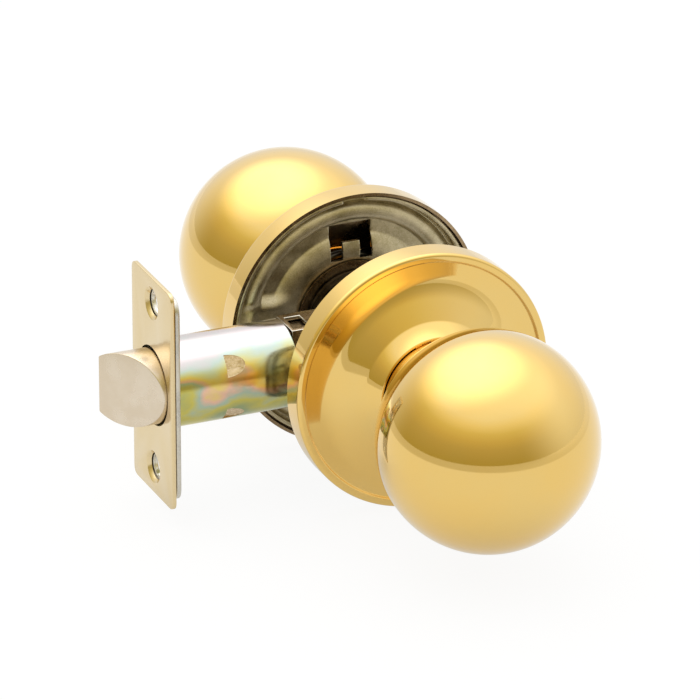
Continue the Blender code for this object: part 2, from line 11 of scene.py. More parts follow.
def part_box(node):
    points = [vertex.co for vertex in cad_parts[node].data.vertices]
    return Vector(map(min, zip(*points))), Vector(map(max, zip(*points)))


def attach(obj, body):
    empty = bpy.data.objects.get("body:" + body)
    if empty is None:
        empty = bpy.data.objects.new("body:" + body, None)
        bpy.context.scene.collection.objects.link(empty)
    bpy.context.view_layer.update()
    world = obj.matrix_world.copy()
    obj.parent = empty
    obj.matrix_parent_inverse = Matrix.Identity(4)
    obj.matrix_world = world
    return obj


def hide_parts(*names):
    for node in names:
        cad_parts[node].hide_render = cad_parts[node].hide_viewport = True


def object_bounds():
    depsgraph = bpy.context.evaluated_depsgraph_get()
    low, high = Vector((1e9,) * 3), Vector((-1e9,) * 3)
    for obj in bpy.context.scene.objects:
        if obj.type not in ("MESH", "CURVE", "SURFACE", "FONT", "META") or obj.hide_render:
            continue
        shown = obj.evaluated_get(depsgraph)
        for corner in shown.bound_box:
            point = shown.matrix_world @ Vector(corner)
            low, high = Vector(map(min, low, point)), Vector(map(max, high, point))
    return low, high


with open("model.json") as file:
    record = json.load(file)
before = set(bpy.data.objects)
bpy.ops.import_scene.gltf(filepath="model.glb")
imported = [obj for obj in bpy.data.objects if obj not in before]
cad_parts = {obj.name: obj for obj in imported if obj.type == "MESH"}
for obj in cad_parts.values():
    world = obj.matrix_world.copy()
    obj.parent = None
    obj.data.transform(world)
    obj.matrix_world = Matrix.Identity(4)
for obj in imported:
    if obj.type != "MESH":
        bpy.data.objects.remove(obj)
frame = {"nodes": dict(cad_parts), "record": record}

CAD_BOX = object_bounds()
MM = 0.001

# Places that the frame gives
BALL_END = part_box("outer_knob")[0].y
BALL_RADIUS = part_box("outer_knob")[1].x
BALL_CENTRE = -BALL_END - BALL_RADIUS
ROSE_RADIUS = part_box("outer_rose")[1].x
DOOR_HALF = -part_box("outer_rose")[1].y
PLATE_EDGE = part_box("outer_plate")[1].x
FACE_FRONT, FACE_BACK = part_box("latch_faceplate")[0].x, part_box("latch_faceplate")[1].x
FACE_HALF_Y, FACE_HALF_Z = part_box("latch_faceplate")[1].y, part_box("latch_faceplate")[1].z
TUBE_START, TUBE_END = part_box("latch_tube")[0].x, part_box("latch_tube")[1].x
TUBE_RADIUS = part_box("latch_tube")[1].z
BOLT_TIP, BOLT_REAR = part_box("latch_bolt")[0].x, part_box("latch_bolt")[1].x
BOLT_FLAT, BOLT_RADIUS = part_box("latch_bolt")[1].y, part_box("latch_bolt")[1].z
POST_X = (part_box("post_right")[0].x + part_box("post_right")[1].x) / 2

# Sizes of the fine shapes
NECK_RADIUS = 13.9 * MM
NECK_FILLET = 4.5 * MM
NECK_MOUTH = 22.7 * MM
KNOB_WALL = 1.2 * MM
SCREW_SPACING = 43.6 * MM
STAKE_X = -42.4 * MM
ROUND = 192
FINE_ROUND = 256

# The studio
SHEET_RADIUS = 0.36
SHEET_GRAY = (0.68, 0.68, 0.68)
PAPER_GLOW = 1.02
FLOOR_RADIUS = 4.0
BACK_SIDE = Vector((0.80, 0.60, 0)).normalized()
HIGH_LIGHT = (-0.10, 0.34, 0.94)
HIGH_LIGHT_DEG = 50
HIGH_LIGHT_POWER = 1.3
TENT_POWER = 2.0


# ---------------------------------------------------------------- node helpers

def new_look(name, color, metallic, roughness):
    made = bpy.data.materials.new(name)
    made.use_nodes = True
    shader = made.node_tree.nodes["Principled BSDF"]
    shader.inputs["Base Color"].default_value = (*color, 1)
    shader.inputs["Metallic"].default_value = metallic
    shader.inputs["Roughness"].default_value = roughness
    return made, made.node_tree, shader


def add(tree, kind, inputs=None, **settings):
    """A shader node. An input that is a socket is linked, any other is set."""
    node = tree.nodes.new("ShaderNode" + kind)
    for key, value in settings.items():
        setattr(node, key, value)
    for key, value in (inputs or {}).items():
        if isinstance(value, bpy.types.NodeSocket):
            tree.links.new(value, node.inputs[key])
        else:
            node.inputs[key].default_value = value
    return node


def math_node(tree, operation, a, b=0.0):
    return add(tree, "Math", {0: a, 1: b}, operation=operation).outputs[0]


def spread(tree, value, low, high, to_low=0.0, to_high=1.0):
    """Maps low..high onto to_low..to_high, with no step at the ends."""
    inputs = {"Value": value, "From Min": low, "From Max": high, "To Min": to_low, "To Max": to_high}
    return add(tree, "MapRange", inputs, interpolation_type="SMOOTHSTEP").outputs[0]


def ramp(tree, value, stops):
    node = add(tree, "ValToRGB", {0: value})
    marks = node.color_ramp.elements
    while len(marks) < len(stops):
        marks.new(0.5)
    for mark, (place, color) in zip(marks, stops):
        mark.position = place
        mark.color = (*color, 1)
    return node.outputs[0]


def mix(tree, factor, a, b):
    node = add(tree, "Mix", {0: factor}, data_type="RGBA")
    for socket, value in ((node.inputs[6], a), (node.inputs[7], b)):
        if isinstance(value, bpy.types.NodeSocket):
            tree.links.new(value, socket)
        else:
            socket.default_value = (*value, 1)
    return node.outputs[2]


def place_of(tree, stretch=(1, 1, 1)):
    """Object coordinates, which are metres at rest, times a stretch."""
    spot = add(tree, "TexCoord").outputs["Object"]
    return add(tree, "VectorMath", {0: spot, 1: stretch}, operation="MULTIPLY").outputs[0]


def noise(tree, where, scale, detail=2.0, roughness=0.5):
    inputs = {"Vector": where, "Scale": scale, "Detail": detail, "Roughness": roughness}
    return add(tree, "TexNoise", inputs).outputs[0]


def bump(tree, shader, height, distance, strength=1.0, under=None):
    inputs = {"Height": height, "Distance": distance, "Strength": strength}
    if under is not None:
        inputs["Normal"] = under
    out = add(tree, "Bump", inputs).outputs[0]
    tree.links.new(out, shader.inputs["Normal"])
    return out


# ---------------------------------------------------------------- finishes

def polished_brass():
    """Mirror-polished brass under clear lacquer, with a very slight waviness and hairline haze."""
    look, tree, shader = new_look("brass_polished", (0.81, 0.55, 0.165), 1.0, 0.05)
    where = place_of(tree)
    cloud = noise(tree, where, 60, 3)
    tint = mix(tree, spread(tree, cloud, 0.35, 0.65), (0.815, 0.550, 0.160), (0.800, 0.555, 0.175))
    tree.links.new(tint, shader.inputs["Base Color"])
    haze = noise(tree, where, 900, 4, 0.7)
    tree.links.new(spread(tree, haze, 0.3, 0.7, 0.035, 0.075), shader.inputs["Roughness"])
    bump(tree, shader, noise(tree, where, 260, 2), 0.0000015)
    shader.inputs["Coat Weight"].default_value = 0.65
    shader.inputs["Coat Roughness"].default_value = 0.03
    return look


def satin_brass():
    """Pale satin plate with fine brushing up and down."""
    look, tree, shader = new_look("brass_satin", (0.74, 0.60, 0.36), 1.0, 0.22)
    lines = noise(tree, place_of(tree, (1, 1, 0.03)), 7000, 3, 0.6)
    cloud = noise(tree, place_of(tree), 90, 3)
    base = mix(tree, spread(tree, lines, 0.3, 0.7), (0.70, 0.56, 0.32), (0.80, 0.65, 0.40))
    tint = mix(tree, spread(tree, cloud, 0.3, 0.7), base, (0.75, 0.61, 0.37))
    tree.links.new(tint, shader.inputs["Base Color"])
    tree.links.new(spread(tree, lines, 0.3, 0.7, 0.15, 0.25), shader.inputs["Roughness"])
    bump(tree, shader, lines, 0.000006)
    return look


def satin_nickel():
    """Fine cast and tumbled surface of the bolt."""
    look, tree, shader = new_look("nickel_satin", (0.70, 0.61, 0.49), 1.0, 0.34)
    where = place_of(tree)
    grain = noise(tree, where, 4200, 3, 0.7)
    cloud = noise(tree, where, 160, 3)
    tint = mix(tree, spread(tree, cloud, 0.35, 0.7), (0.68, 0.58, 0.45), (0.74, 0.65, 0.53))
    tree.links.new(tint, shader.inputs["Base Color"])
    tree.links.new(spread(tree, cloud, 0.3, 0.7, 0.22, 0.30), shader.inputs["Roughness"])
    bump(tree, shader, grain, 0.000006)
    return look


def near_spot(tree, where, spot, size):
    """1 at a spot, falling to 0 at size metres from it."""
    away = add(tree, "VectorMath", {0: where, 1: spot}, operation="DISTANCE").outputs["Value"]
    return spread(tree, away, 0.0, size, 1.0, 0.0)


def yellow_zinc():
    """Yellow zinc coat: pale cyan and pink where it is thin, straw yellow and olive where it is thick. It is
    made thin at the top and thick at the bottom, so the pale top is partly a painted highlight, and the colour
    runs darker olive towards the bottom.
    """
    look, tree, shader = new_look("zinc_yellow", (0.78, 0.74, 0.50), 1.0, 0.24)
    where = place_of(tree)
    film_and_highlight = noise(tree, place_of(tree, (1, 1, 1.8)), 80, 3, 0.5)
    axes = add(tree, "SeparateXYZ", {0: where})
    # The coat is thin at the top and thick at the bottom: the paler top is a painted highlight, and it turns
    # darker olive towards the bottom.
    low = spread(tree, axes.outputs[2], 0.011, -0.011, 0.0, 0.62)
    film_and_highlight = math_node(tree, "ADD", math_node(tree, "MULTIPLY", film_and_highlight, 0.6), low)
    for spot, size, amount in (
        ((STAKE_X, -0.0092, 0.0060), 0.0080, 0.24), ((STAKE_X, -0.0085, -0.0070), 0.0075, 0.14),
        ((-0.0575, -0.0110, 0.0010), 0.0080, 0.20), ((-0.0290, -0.0090, 0.0060), 0.0060, 0.16),
    ):
        extra = math_node(tree, "MULTIPLY", near_spot(tree, where, spot, size), amount)
        film_and_highlight = math_node(tree, "ADD", film_and_highlight, extra)
    color = ramp(tree, film_and_highlight, [
        (0.25, (0.66, 0.60, 0.60)), (0.36, (0.54, 0.64, 0.58)), (0.46, (0.62, 0.64, 0.38)),
        (0.56, (0.76, 0.60, 0.18)), (0.63, (0.74, 0.48, 0.36)), (0.70, (0.40, 0.50, 0.40)),
        (0.80, (0.56, 0.50, 0.12)), (0.95, (0.32, 0.38, 0.20)),
    ])
    tree.links.new(color, shader.inputs["Base Color"])
    cloud = noise(tree, where, 300, 3)
    tree.links.new(spread(tree, cloud, 0.3, 0.7, 0.14, 0.20), shader.inputs["Roughness"])
    bump(tree, shader, cloud, 0.000003)
    return look


def grainy_metal(name, dark, pale, roughness, grain_size, depth):
    """Stamped or pressed metal with mottled plating and a fine grain."""
    middle = [(a + b) / 2 for a, b in zip(dark, pale)]
    look, tree, shader = new_look(name, middle, 1.0, roughness)
    where = place_of(tree)
    cloud = noise(tree, where, 140, 4, 0.6)
    grain = noise(tree, where, 1 / grain_size, 4, 0.7)
    large, small = math_node(tree, "MULTIPLY", cloud, 0.6), math_node(tree, "MULTIPLY", grain, 0.4)
    both = math_node(tree, "ADD", large, small)
    tree.links.new(mix(tree, spread(tree, both, 0.35, 0.65), dark, pale), shader.inputs["Base Color"])
    gloss = spread(tree, cloud, 0.3, 0.7, roughness - 0.07, roughness + 0.07)
    tree.links.new(gloss, shader.inputs["Roughness"])
    bump(tree, shader, grain, depth)
    return look


def toward_back(tree, where):
    """0 on the front side, rising to 1 on the back side."""
    along = add(tree, "VectorMath", {0: where, 1: BACK_SIDE}, operation="DOT_PRODUCT").outputs["Value"]
    return spread(tree, along, -0.5, 0.6)


def floor_paint():
    """A pale sheet under the object, on a table that is darker and warmer in front.

    Camera rays see it pale all over, with a faint shadow. Other rays, such as reflections, see
    more of the table's own colours.
    """
    look, tree, shader = new_look("studio_floor", SHEET_GRAY, 0.0, 0.8)
    where = place_of(tree)
    away = add(tree, "VectorMath", {0: where}, operation="LENGTH").outputs["Value"]
    beyond = spread(tree, away, SHEET_RADIUS, SHEET_RADIUS + 0.02)
    table = mix(tree, toward_back(tree, where), (0.28, 0.24, 0.09), (0.62, 0.61, 0.58))
    tree.links.new(mix(tree, beyond, SHEET_GRAY, table), shader.inputs["Base Color"])
    glow = add(tree, "Emission", {0: (1, 1, 1, 1), 1: PAPER_GLOW}).outputs[0]
    seen = spread(tree, add(tree, "LightPath").outputs["Is Camera Ray"], 0.0, 1.0, 0.5, 0.9)
    both = add(tree, "MixShader", {0: seen, 1: shader.outputs[0], 2: glow}).outputs[0]
    tree.links.new(both, tree.nodes["Material Output"].inputs[0])
    return look


# Slot: name, dark colour, pale colour, roughness, grain size and bump depth in metres
GRAINY = {
    "zinc_bronze": ("bronze_zinc", (0.40, 0.34, 0.20), (0.70, 0.62, 0.44), 0.42, 0.00035, 0.00001),
    "bronze": ("bronze_dark", (0.22, 0.15, 0.08), (0.44, 0.32, 0.19), 0.30, 0.0006, 0.000006),
    "zinc": ("zinc_plain", (0.48, 0.46, 0.41), (0.68, 0.66, 0.60), 0.30, 0.0005, 0.000006),
    "spring_steel": ("steel_spring", (0.07, 0.06, 0.05), (0.14, 0.13, 0.11), 0.34, 0.0004, 0.000004),
}
LOOKS = {
    "polished_brass": polished_brass(),
    "satin_brass": satin_brass(),
    "satin_nickel": satin_nickel(),
    "yellow_zinc": yellow_zinc(),
    **{slot: grainy_metal(*finish) for slot, finish in GRAINY.items()},
}
# Pressed zinc in the stake pockets: its own pinker tone and creases, made darker than the tube as painted
# shade in the recess.
STAKE_ZINC_AND_SHADE = grainy_metal("zinc_staked_and_shade", (0.42, 0.30, 0.14), (0.80, 0.64, 0.44), 0.26, 0.0011, 0.00012)
CUT_EDGE = grainy_metal("steel_cut", (0.60, 0.57, 0.50), (0.82, 0.79, 0.70), 0.25, 0.0002, 0.00001)


# ---------------------------------------------------------------- mesh helpers

SPOTS = {
    "outer": lambda a, b, h: (a, -h, b),
    "inner": lambda a, b, h: (-a, h, b),
    "latch": lambda a, b, h: (h, a, b),
    "upright": lambda a, b, h: (a, b, h),
}


def finish_mesh(name, bm, looks, sharp=32):
    bmesh.ops.remove_doubles(bm, verts=bm.verts, dist=1e-7)
    bmesh.ops.recalc_face_normals(bm, faces=bm.faces)
    mesh = bpy.data.meshes.new(name)
    bm.to_mesh(mesh)
    bm.free()
    mesh.shade_smooth()
    mesh.set_sharp_from_angle(angle=math.radians(sharp))
    for look in looks:
        mesh.materials.append(look)
    obj = bpy.data.objects.new(name, mesh)
    bpy.context.scene.collection.objects.link(obj)
    return obj


def circle(radius, count):
    angles = [2 * math.pi * i / count for i in range(count)]
    return [(radius * math.cos(a), radius * math.sin(a)) for a in angles]


def arc(centre, radius, start_deg, end_deg, steps):
    angles = [math.radians(start_deg + (end_deg - start_deg) * i / steps) for i in range(steps + 1)]
    return [(centre[0] + radius * math.cos(a), centre[1] + radius * math.sin(a)) for a in angles]


def rounded(corners, closed=True, steps=5):
    """An outline through (a, b, radius) corners, each one rounded."""
    points = []
    for i, (a, b, radius) in enumerate(corners):
        here = Vector((a, b))
        if radius == 0 or (not closed and i in (0, len(corners) - 1)):
            points.append((a, b))
            continue
        before = Vector(corners[i - 1][:2]) - here
        after = Vector(corners[(i + 1) % len(corners)][:2]) - here
        half = before.angle(after) / 2
        reach = min(radius / math.tan(half), 0.48 * before.length, 0.48 * after.length)
        start, end = here + before.normalized() * reach, here + after.normalized() * reach
        for k in range(steps + 1):
            t = k / steps
            points.append(tuple((1 - t) ** 2 * start + 2 * t * (1 - t) * here + t * t * end))
    return points


def skin(bm, rings, closed):
    """Joins rings of points with faces. A ring of one point is a pole."""
    made = [[bm.verts.new(spot) for spot in ring] for ring in rings]
    pairs = list(zip(made, made[1:]))
    if closed:
        pairs.append((made[-1], made[0]))
    for low, high in pairs:
        count = max(len(low), len(high))
        for i in range(count):
            j = (i + 1) % count
            corners = [low[i % len(low)], low[j % len(low)], high[j % len(high)], high[i % len(high)]]
            bm.faces.new(list(dict.fromkeys(corners)))


def turned(name, profile, axis, look, count=ROUND, inside=None):
    """A turned shape along "outer", "inner" or "latch", from (radius, height) points.

    inside is (point number, look): faces from that point of the profile on have that look.
    """
    spot = SPOTS[axis]
    rings = []
    for radius, height in profile:
        ring = [(0.0, 0.0)] if radius < 1e-7 else circle(radius, count)
        rings.append([spot(a, b, height) for a, b in ring])
    bm = bmesh.new()
    skin(bm, rings, closed=not (profile[0][0] == 0 and profile[-1][0] == 0))
    if inside:
        bm.faces.ensure_lookup_table()
        for face in bm.faces[inside[0] * count:]:
            face.material_index = 1
    return finish_mesh(name, bm, [look] + ([inside[1]] if inside else []))


def slab(name, outline, low, high, axis, look):
    spot = SPOTS[axis]
    bm = bmesh.new()
    bottom = [bm.verts.new(spot(a, b, low)) for a, b in outline]
    top = [bm.verts.new(spot(a, b, high)) for a, b in outline]
    bm.faces.new(bottom)
    bm.faces.new(top)
    for i in range(len(outline)):
        j = (i + 1) % len(outline)
        bm.faces.new((bottom[i], bottom[j], top[j], top[i]))
    return finish_mesh(name, bm, [look])


def box(name, x, y, z, look):
    return slab(name, [(y[0], z[0]), (y[1], z[0]), (y[1], z[1]), (y[0], z[1])], x[0], x[1], "latch", look)


def wire(name, path, radius, look, count=12):
    """A round wire along a list of points, closed at both ends."""
    rings, side = [], Vector((0.123, 0.456, 0.789))
    for i, spot in enumerate(path):
        ahead = (path[min(i + 1, len(path) - 1)] - path[max(i - 1, 0)]).normalized()
        side = (side - side.dot(ahead) * ahead).normalized()
        across = ahead.cross(side)
        rings.append([spot + a * side + b * across for a, b in circle(radius, count)])
    bm = bmesh.new()
    skin(bm, [[path[0]]] + rings + [[path[-1]]], closed=False)
    return finish_mesh(name, bm, [look], 60)


def apply_modifiers(obj):
    graph = bpy.context.evaluated_depsgraph_get()
    mesh = bpy.data.meshes.new_from_object(obj.evaluated_get(graph))
    obj.modifiers.clear()
    obj.data = mesh
    return obj


def cut(obj, *others):
    """Cuts other objects out for good, and removes them."""
    for other in others:
        modifier = obj.modifiers.new("change", "BOOLEAN")
        modifier.operation = "DIFFERENCE"
        modifier.solver = "EXACT"
        modifier.material_mode = "TRANSFER"
        modifier.object = other
    bpy.context.view_layer.update()
    apply_modifiers(obj)
    for other in others:
        bpy.data.objects.remove(other, do_unlink=True)
    return obj


def soften(obj, width, segments=2, angle=35, look=None):
    """Small round edges, which may have a look of their own."""
    modifier = obj.modifiers.new("edges", "BEVEL")
    modifier.width = width
    modifier.segments = segments
    modifier.limit_method = "ANGLE"
    modifier.angle_limit = math.radians(angle)
    if look:
        modifier.material = obj.data.materials.find(look.name)
    apply_modifiers(obj)
    obj.data.shade_smooth()
    obj.data.set_sharp_from_angle(angle=math.radians(angle))
    return obj


def stand_for(obj, body, slot, *nodes):
    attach(obj, body)
    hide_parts(*nodes)
    return obj


# ---------------------------------------------------------------- knob halves

def knob_outline(inset, steps):
    reach = BALL_RADIUS + NECK_FILLET
    fillet_r = NECK_RADIUS + NECK_FILLET
    fillet_z = BALL_CENTRE - math.sqrt(reach ** 2 - fillet_r ** 2)
    meet = math.degrees(math.atan2(BALL_CENTRE - fillet_z, -fillet_r))
    start = math.degrees(math.atan2(fillet_z - BALL_CENTRE, fillet_r))
    points = [(NECK_RADIUS - inset, NECK_MOUTH)]
    points += arc((fillet_r, fillet_z), NECK_FILLET + inset, 180, meet, steps // 4)
    points += arc((0, BALL_CENTRE), BALL_RADIUS - inset, start, 90, steps)[1:]
    points[-1] = (0, points[-1][1])
    return points


def make_knob(side):
    outline = knob_outline(0, 96)[::-1] + knob_outline(KNOB_WALL, 36)
    knob = turned(f"{side}_ball_knob", outline, side, LOOKS["polished_brass"], FINE_ROUND)
    stand_for(knob, "knobs", "polished_brass", f"{side}_knob")


def rose_outline():
    """Outside and inside of the rose: straight rim, lip, fine groove, and a face that sweeps up to a boss."""
    front, dish, wall = 24.1, 23.4, 0.8
    sweep_start, sweep_end, bend, steepest, steps = 27.8, 17.0, 0.1, 0.55, 24
    step = (sweep_start - sweep_end) / steps
    sweep = [(sweep_start, dish)]
    for i in range(steps):
        slope = min(steepest, bend * step * (i + 0.5))
        sweep.append((sweep[-1][0] - step, sweep[-1][1] + slope * step))
    top = sweep[-1][1]
    outside = [
        (ROSE_RADIUS / MM, DOOR_HALF / MM, 0.2), (ROSE_RADIUS / MM, front, 1.3), (31.35, front + 0.05, 0.35),
        (30.95, dish, 0.3), *[(r, h, 0) for r, h in sweep],
        (14.65, top + 3.8, 0.5), (14.1, top + 3.9, 0.2), (14.1, top + 2.8, 0),
    ]
    inside = [
        (16.6, top - wall), *[(r, h - wall) for r, h in sweep[-5::-4]],
        (ROSE_RADIUS / MM - wall, dish - wall), (ROSE_RADIUS / MM - wall, DOOR_HALF / MM),
    ]
    outline = rounded([(r * MM, h * MM, radius * MM) for r, h, radius in outside], closed=False, steps=8)
    return outline, [(r * MM, h * MM) for r, h in inside]


def make_rose(side):
    outside, inside = rose_outline()
    rose = turned(f"{side}_rose_cover", outside + inside, side, LOOKS["polished_brass"], FINE_ROUND,
                  (len(outside) - 1, LOOKS["bronze"]))
    stand_for(rose, "fixed_set", "polished_brass", f"{side}_rose")


def ease(low, high, value):
    t = min(1.0, max(0.0, (value - low) / (high - low)))
    return t * t * (3 - 2 * t)


def plate_depth(r, turn):
    """Depth of the plate's door side in mm: crowned ring, flat groove, a bead in two halves and two lobes."""
    across, up = r * math.cos(turn), r * math.sin(turn)
    ring = min(21.5, 20.0 + 1.3 * ((r - 17.0) / 4.6) ** 2)
    depth = ring + (21.5 - ring) * ease(21.2, 22.4, r)
    from_level = math.degrees(math.asin(min(1.0, abs(math.sin(turn)))))
    bead = max(0.0, 1 - ((r - 27.7) / 2.5) ** 2) ** 0.5 * ease(9, 16, from_level)
    depth -= 2.3 * bead
    lobe_x, lobe_y = max(0.0, abs(abs(across) - 22.0) - 3.0), max(0.0, abs(up) - 3.6)
    lobe = 1 - ease(1.6, 5.6, math.hypot(lobe_x, lobe_y))
    return depth + (19.5 - depth) * lobe


def make_plate(side):
    """The stamped plate, with its turned-up edge, window, tab and fastener holes."""
    count = 288
    hole_mm, flat_end, rim_in, rim_out = 13.6, 30.5, 31.1, PLATE_EDGE / MM
    radii = [hole_mm + (flat_end - hole_mm) * i / 60 for i in range(61)]
    spot = SPOTS[side]
    columns = []
    for i in range(count):
        turn = 2 * math.pi * (i + 0.5) / count
        face = [(r, plate_depth(r, turn)) for r in radii]
        notch = min(abs((math.degrees(turn) - start + 180) % 360 - 180) for start in (90, 210, 330)) < 5.5
        rim_low = 20.4 if notch else 18.1
        corner = plate_depth(flat_end, turn)
        rim = [(rim_in, corner - 0.5), (rim_in, rim_low + 0.15), (rim_in + 0.15, rim_low),
               (rim_out - 0.15, rim_low), (rim_out, rim_low + 0.15), (rim_out, corner + 0.5),
               (rim_out - 0.5, corner + 1.0)]
        back = [(r, depth + 1.0) for r, depth in face[::-1]]
        columns.append([spot(r * MM * math.cos(turn), r * MM * math.sin(turn), depth * MM)
                        for r, depth in face + rim + back])
    bm = bmesh.new()
    skin(bm, [list(ring) for ring in zip(*columns)], closed=True)
    plate = finish_mesh(f"{side}_base_plate", bm, [LOOKS["zinc_bronze"], CUT_EDGE], 40)
    low, tab_top, high, half, tab = 15.0 * MM, 19.6 * MM, 24.3 * MM, 5.6 * MM, 2.25 * MM
    window = [(-half, low), (-tab, low), (-tab, tab_top), (tab, tab_top), (tab, low),
              (half, low), (half, high), (-half, high)]
    cutters = [slab("window", window, DOOR_HALF, 25 * MM, side, CUT_EDGE)]
    for sign in (-1, 1):
        hole = [(a + sign * POST_X, b) for a, b in circle(2.6 * MM, 32)]
        cutters.append(slab("hole", hole, DOOR_HALF, 25 * MM, side, CUT_EDGE))
    cut(plate, *cutters)
    soften(plate, 0.1 * MM, 1, 50, CUT_EDGE)
    stand_for(plate, "fixed_set", "zinc_bronze", f"{side}_plate")


def make_shank(side):
    """The sleeve in the neck, seen through the plate's hole: slotted end, clip groove and a web."""
    start = -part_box("outer_shank")[1].y
    low, body = start / MM, (NECK_RADIUS - KNOB_WALL) / MM - 0.35
    bore, outside, groove, web, mouth, end = 9.4, 11.0, 10.5, 22.0, 22.7, 36.0
    corners = [
        (0, web, 0), (bore, web, 0.4), (bore, low, 0.3), (outside, low, 0.4), (outside, 17.6, 0.1),
        (groove, 17.6, 0), (groove, 19.3, 0), (outside, 19.3, 0.1), (outside, mouth, 0), (body, mouth, 0.3),
        (body, end, 0.3), (0, end, 0),
    ]
    outline = rounded([(r * MM, h * MM, radius * MM) for r, h, radius in corners], closed=False)
    shank = turned(f"{side}_sleeve", outline, side, LOOKS["bronze"], 96)
    square, slot = 4.15 * MM, 1.6 * MM
    corners = [(-square, -square), (square, -square), (square, square), (-square, square)]
    slots = [(-20 * MM, -slot), (20 * MM, -slot), (20 * MM, slot), (-20 * MM, slot)]
    cut(shank, slab("square", corners, start, 37 * MM, side, CUT_EDGE),
        slab("slot", slots, 10 * MM, start + slot, side, CUT_EDGE))
    shank.data.set_sharp_from_angle(angle=math.radians(35))
    stand_for(shank, "knobs", "bronze", f"{side}_shank")


def make_torsion_spring(side):
    spot = SPOTS[side]
    radius, turns, low, rise, steps = 15.1 * MM, 2.0, 22.95 * MM, 1.45 * MM, 160
    path = []
    for i in range(steps + 1):
        turn = math.pi / 2 + 2 * math.pi * turns * i / steps
        height = low + rise * turns * i / steps
        path.append(Vector(spot(radius * math.cos(turn), radius * math.sin(turn), height)))
    path.insert(0, Vector(spot(0.6 * MM, radius + 3.2 * MM, low)))
    spring = wire(f"{side}_return_spring", path, 0.55 * MM, LOOKS["spring_steel"])
    stand_for(spring, "fixed_set", "spring_steel", f"{side}_spring")


# ---------------------------------------------------------------- latch

def bolt_outline(radius, flat, steps=72):
    edge = math.degrees(math.acos(flat / radius))
    return arc((0, 0), radius, edge, 360 - edge, steps)


def plate_outline(half_a, half_b, radius):
    return rounded([(half_a, half_b, radius), (-half_a, half_b, radius), (-half_a, -half_b, radius),
                    (half_a, -half_b, radius)], steps=8)


def make_faceplate():
    look, gap, past = LOOKS["satin_brass"], 0.55 * MM, 2 * MM
    outline = plate_outline(FACE_HALF_Y, FACE_HALF_Z, 2.4 * MM)
    face = slab("face_plate", outline, FACE_FRONT, FACE_BACK, "latch", look)
    hole = bolt_outline(BOLT_RADIUS + gap, BOLT_FLAT + gap)
    cutters = [slab("opening", hole, FACE_FRONT - past, FACE_BACK + past, "latch", look)]
    low, high = FACE_FRONT - 0.5 * MM, FACE_BACK + 0.3 * MM
    for sign in (-1, 1):
        profile = [(0, low), (4.75 * MM, low), (3.0 * MM, high), (0, high)]
        cone = turned("countersink", profile, "latch", look, 64)
        cone.data.transform(Matrix.Translation((0, 0, sign * SCREW_SPACING / 2)))
        cutters.append(cone)
    cut(face, *cutters)
    soften(face, 0.16 * MM, 3)
    stand_for(face, "fixed_set", "satin_brass", "latch_faceplate")


def make_backplate():
    low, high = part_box("latch_backplate")
    back = slab("back_plate", plate_outline(high.y, high.z, 4.0 * MM), low.x, high.x, "latch", LOOKS["zinc"])
    hole = circle(TUBE_RADIUS + 0.35 * MM, 96)
    cutters = [slab("tube_hole", hole, low.x - MM, high.x + MM, "latch", CUT_EDGE)]
    for sign in (-1, 1):
        hole = [(a, b + sign * SCREW_SPACING / 2) for a, b in circle(2.75 * MM, 48)]
        cutters.append(slab("screw_hole", hole, low.x - MM, high.x + MM, "latch", CUT_EDGE))
    cut(back, *cutters)
    soften(back, 0.2 * MM, 3)
    stand_for(back, "fixed_set", "zinc", "latch_backplate")


def stake_cutter(toward_y, toward_z):
    """A D-shaped pocket in the tube's wall, deep at its flat end and running out to the other."""
    start, end, half, depth = STAKE_X - 3.4 * MM, STAKE_X + 1.6 * MM, 2.8 * MM, 0.85 * MM
    radial = Vector((0, toward_y, toward_z)).normalized()
    side = Vector((0, -radial.z, radial.y))
    low, high = [], []
    bm = bmesh.new()
    for across, along in arc((0, 0), 1.0, -90, 90, 28):
        x = start + (end - start) * max(0.0, across)
        spot = Vector((x, 0, 0)) + along * half * side
        floor = TUBE_RADIUS - depth * (end - x) / (end - start) - 0.03 * MM
        low.append(bm.verts.new(spot + floor * radial))
        high.append(bm.verts.new(spot + (TUBE_RADIUS + 2 * MM) * radial))
    bm.faces.new(low)
    bm.faces.new(high)
    for i in range(len(low)):
        j = (i + 1) % len(low)
        bm.faces.new((low[i], low[j], high[j], high[i]))
    # The pocket's faces take the darker stake look, which paints shade into the recess.
    return finish_mesh("stake", bm, [STAKE_ZINC_AND_SHADE])


def make_tube():
    inner = TUBE_RADIUS - 1.0 * MM
    corners = [
        (inner, TUBE_START, 0.1 * MM), (TUBE_RADIUS, TUBE_START, 0.15 * MM),
        (TUBE_RADIUS, TUBE_END, 0.7 * MM), (inner, TUBE_END, 0.2 * MM),
    ]
    tube = turned("latch_housing", rounded(corners), "latch", LOOKS["yellow_zinc"], 160)
    cut(tube, stake_cutter(-0.83, 0.55), stake_cutter(-0.74, -0.67))
    tube.data.set_sharp_from_angle(angle=math.radians(35))
    stand_for(tube, "fixed_set", "yellow_zinc", "latch_tube")


